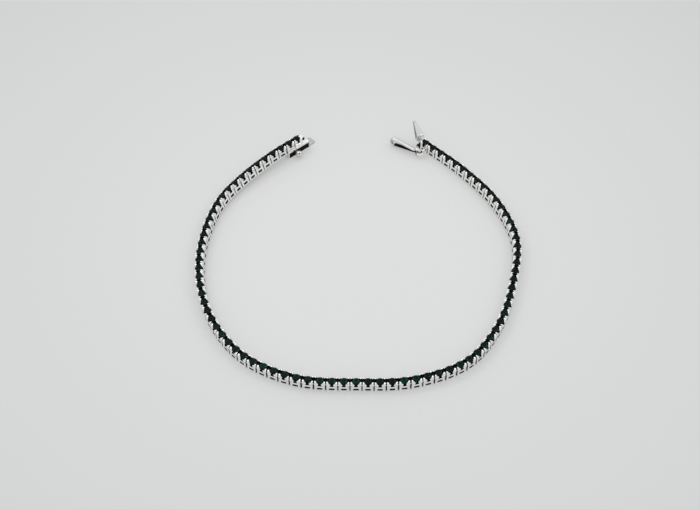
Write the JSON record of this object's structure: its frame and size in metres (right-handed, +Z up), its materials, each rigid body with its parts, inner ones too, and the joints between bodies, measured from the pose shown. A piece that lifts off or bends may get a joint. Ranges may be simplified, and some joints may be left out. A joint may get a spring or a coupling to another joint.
{
  "type": "tennis bracelet",
  "caption": "Silver tennis bracelet lying open on a table: one row of claw-set dark green round stones, box clasp, folded tongue and wire safety catch.",
  "frame": {"origin": "on the table, under the middle of the bracelet's bounding box", "axes": "+Z up from the table; +Y from the middle of the chain towards the open clasp; +X to the right seen from the front"},
  "size_m": [0.0622, 0.0648, 0.0046],
  "materials": {
    "silver": "polished, dark in its recesses",
    "green_stone": "polished, very dark teal green"
  },
  "bodies": {
    "bracelet": {"chain_left": "silver", "chain_right": "silver", "clasp_box": "silver", "clasp_tongue": "silver"},
    "catch": {"safety_catch": "silver"}
  },
  "joints": [
    {"name": "safety_swing", "type": "hinge", "parent": "bracelet", "child": "catch", "pos_m": [0.01253, 0.0262, 0.00115], "axis": [0, 0, 1], "range_deg": [-20, 160]}
  ]
}
